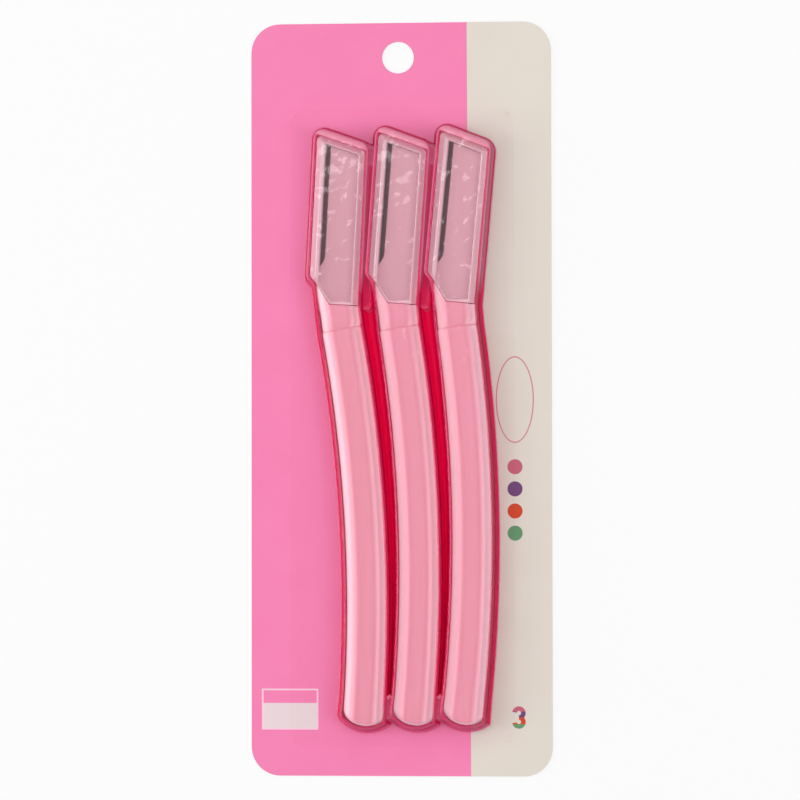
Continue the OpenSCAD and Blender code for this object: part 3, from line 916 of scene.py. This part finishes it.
# Print
ROSE, PURPLE = rgb(203, 94, 120), rgb(112, 62, 120)
ORANGE, GREEN = rgb(214, 64, 16), rgb(98, 152, 108)
DOT_INKS = (("rose", ROSE), ("purple", PURPLE), ("orange", ORANGE), ("green", GREEN))


def inked(outline):
    return prism("ink", outline, CARD_T - INK_T, CARD_T + INK_T, card_frame)


def mark(name, outline, material, hole=None):
    body = inked(outline)
    if hole:
        combine(body, [prism("hole", hole, CARD_T - OVERRUN, CARD_T + OVERRUN, card_frame)], "DIFFERENCE")
    settle(body, name, material, "pack")


def bowl(centre, r, line, start, end):
    """A bent stroke round a centre, from one angle to another."""
    turns = [start + (end - start) * i / BOWL_STEPS for i in range(BOWL_STEPS + 1)]
    outer = [plus(centre, turned((r + line / 2, 0), a)) for a in turns]
    inner = [plus(centre, turned((r - line / 2, 0), a)) for a in reversed(turns)]
    return outer + inner


def number_three():
    """The number 3: two bent strokes, one above the other, in bands of the dots' colours."""
    r = (NUMBER_H - NUMBER_LINE) / 4
    squash = (NUMBER_W - NUMBER_LINE) / (2 * r)
    middles = (NUMBER_H - NUMBER_LINE / 2 - r, NUMBER_LINE / 2 + r)
    bowls = []
    for middle, (start, end) in zip(middles, BOWL_TURNS):
        stroke = bowl((0, middle), r, NUMBER_LINE, start, end)
        bowls.append(inked([(NUMBER_X + x * squash, NUMBER_LOW + y) for x, y in stroke]))
    body = combine(bowls[0], bowls[1:], "UNION")
    tops = [NUMBER_LOW + NUMBER_H * share for share in BAND_SHARES]
    banded = ink_material("ink_banded", ROSE, *zip(tops, (PURPLE, ORANGE, GREEN)))
    settle(body, "printed_number", banded, "pack")


for i, (name, colour) in enumerate(DOT_INKS):
    dot = disc((DOT_X, DOT_HIGH - DOT_PITCH * i), DOT_R, DOT_STEPS)
    mark(f"printed_dot_{name}", dot, ink_material(f"ink_{name}", colour))
mark("printed_oval", ellipse(OVAL, OVAL_W, OVAL_H), ink_material("ink_line", rgb(214, 124, 142)),
     ellipse(OVAL, OVAL_W - 2 * OVAL_LINE, OVAL_H - 2 * OVAL_LINE))
number_three()
field_low = plus(LABEL_LOW, (LABEL_LINE, LABEL_LINE))
field_high = plus(LABEL_HIGH, (-LABEL_LINE, -LABEL_LINE))
mark("printed_label_frame", rectangle(LABEL_LOW, LABEL_HIGH), ink_material("ink_white", rgb(254, 208, 226)),
     rectangle(field_low, field_high))
mark("printed_label_field", rectangle(field_low, (field_high[0], LABEL_HIGH[1] - LABEL_HEAD)),
     ink_material("ink_pale", rgb(236, 216, 220)))


# Floor, world and lamps
def shown(m):
    """1 for the rays that show the background, 0 for those that light the object."""
    ray = m.add("ShaderNodeLightPath").outputs
    return m.most(ray["Is Camera Ray"], ray["Is Glossy Ray"], ray["Is Transmission Ray"])


def floor_material():
    """Pale floor, shown mostly as plain white and for the rest as lit, which keeps the shadow."""
    m = Nodes("pale_floor")
    lit = m.add("ShaderNodeBsdfDiffuse", Color=grey(0.9)).outputs[0]
    white = m.add("ShaderNodeEmission", Color=grey(1.0), Strength=1.0).outputs[0]
    return m.out(m.blend(m.times(shown(m), 0.8), lit, white))


def studio_world():
    """A sky that is seen white near the horizon and greyer overhead, and gives an even dim light."""
    m = Nodes("studio", bpy.data.worlds)
    height = m.parts(m.add("ShaderNodeTexCoord").outputs["Generated"])[2]
    seen = m.ramp(height, [(0.3, grey(1.0)), (0.85, grey(0.25))])
    sky = m.add("ShaderNodeBackground", Color=seen, Strength=1.0).outputs[0]
    dim = m.add("ShaderNodeBackground", Color=grey(1.0), Strength=0.43).outputs[0]
    return m.out(m.blend(shown(m), dim, sky), "ShaderNodeOutputWorld")


def lamp(name, place, size, power):
    """A flat lamp aimed at the origin: its place and its width and height in metres, and its watts."""
    data = bpy.data.lights.new(name, "AREA")
    data.shape = "RECTANGLE"
    data.size, data.size_y = size
    data.energy = power
    obj = bpy.data.objects.new(name, data)
    scene.collection.objects.link(obj)
    obj.location = place
    obj.rotation_mode = "QUATERNION"
    obj.rotation_quaternion = (-Vector(place)).to_track_quat("-Z", "Y")


floor_corners = rectangle((-FLOOR_HALF, -FLOOR_HALF), (FLOOR_HALF, FLOOR_HALF))
floor = new_object("floor", [(x, y, FLOOR_Z) for x, y in floor_corners], [(0, 1, 2, 3)])
floor.data.materials.append(floor_material())
scene.world = studio_world()
lamp("side", (-0.8, -0.05, 0.55), (0.5, 0.5), 2.4)
lamp("low", (-0.95, -0.05, 0.2), (0.5, 0.4), 2.4)
lamp("fill", (0.68, -0.1, 0.62), (0.5, 0.3), 1.8)
lamp("far", (0.0, 0.8, 0.6), (0.9, 0.3), 1.1)
lamp("top", (0.1, -0.05, 0.99), (0.9, 0.15), 1.2)
lamp("window", (-0.1, 0.26, 0.96), (0.3, 0.12), 0.7)

# Camera: its direction from the card, its roll, and its distance and aim in metres
ACROSS, UP, ROLL = 4.98, -1.72, -0.09
DISTANCE, AIM = 1.0, Vector((-0.00036, -0.00038, 0))
LENS, SENSOR_W = 178.41, 36


def camera_pose():
    back = Vector((sin(ACROSS), sin(UP), 0))
    back.z = math.sqrt(1 - back.x ** 2 - back.y ** 2)
    upward = (Vector((0, 1, 0)) - back * back.y).normalized()
    right = upward.cross(back)
    turned_right = right * cos(ROLL) + upward * sin(ROLL)
    turned_up = -right * sin(ROLL) + upward * cos(ROLL)
    axes = Matrix((turned_right, turned_up, back)).transposed().to_4x4()
    return Matrix.Translation(AIM + back * DISTANCE) @ axes


camera = bpy.data.objects.new("camera", bpy.data.cameras.new("camera"))
scene.collection.objects.link(camera)
scene.camera = camera
camera.matrix_world = camera_pose()
camera.data.sensor_width = SENSOR_W
camera.data.lens = LENS
camera.data.clip_start, camera.data.clip_end = 0.05, 10

scene.view_settings.view_transform = "Standard"
